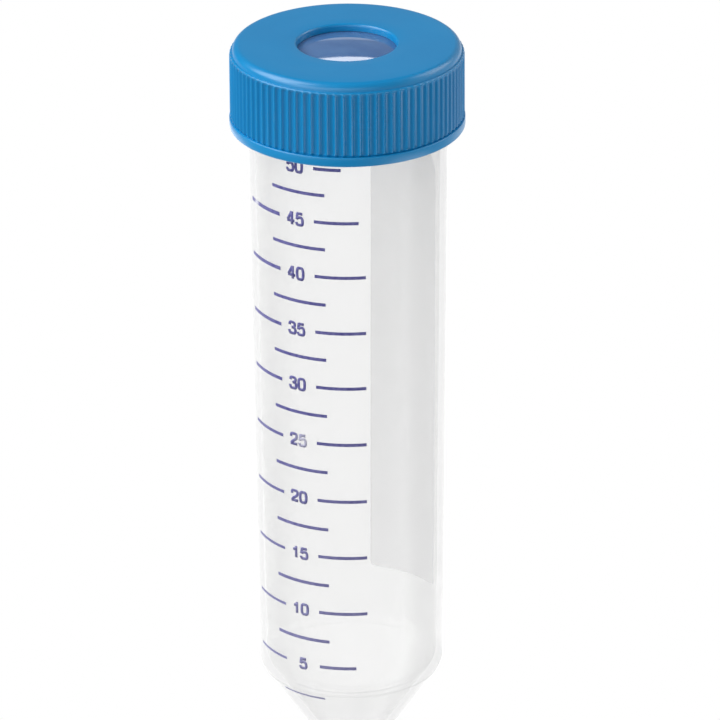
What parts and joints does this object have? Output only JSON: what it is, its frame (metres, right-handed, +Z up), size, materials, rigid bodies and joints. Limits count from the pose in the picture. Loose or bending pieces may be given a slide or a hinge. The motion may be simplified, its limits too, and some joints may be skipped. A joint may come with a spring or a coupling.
{
  "type": "50 ml conical tube",
  "caption": "Clear 50 ml tube with a conical tip, a printed scale and a writing patch, closed by a blue ribbed screw cap with an open centre over a septum. It stands upside down on its cap.",
  "frame": {"origin": "middle of the cap's top, on the surface that the closed tube stands on", "axes": "+Z up along the tube's axis, from the cap to the tip, with the printed scale facing -Y and upside down"},
  "size_m": [0.0346, 0.0346, 0.1172],
  "materials": {
    "clear_plastic": "clear polypropylene, smooth and glossy",
    "septum_rubber": "smooth translucent grey-blue elastomer",
    "blue_plastic": "opaque blue moulded plastic, satin"
  },
  "bodies": {
    "cap": {"screw_cap": "blue_plastic"},
    "seal": {"septum": "septum_rubber"},
    "vessel": {"tube": "clear_plastic"}
  },
  "joints": [
    {"name": "tube_turn", "type": "hinge", "parent": "cap", "child": "seal", "pos_m": [0, 0, 0], "axis": [0, 0, 1], "range_deg": [0, 540]},
    {"name": "tube_lift", "type": "slide", "parent": "seal", "child": "vessel", "axis": [0, 0, 1], "range_m": [0, 0.006]}
  ],
  "couplings": [
    {"joint": "tube_lift", "follows": "tube_turn", "m_per_rad": 0.00063662}
  ]
}
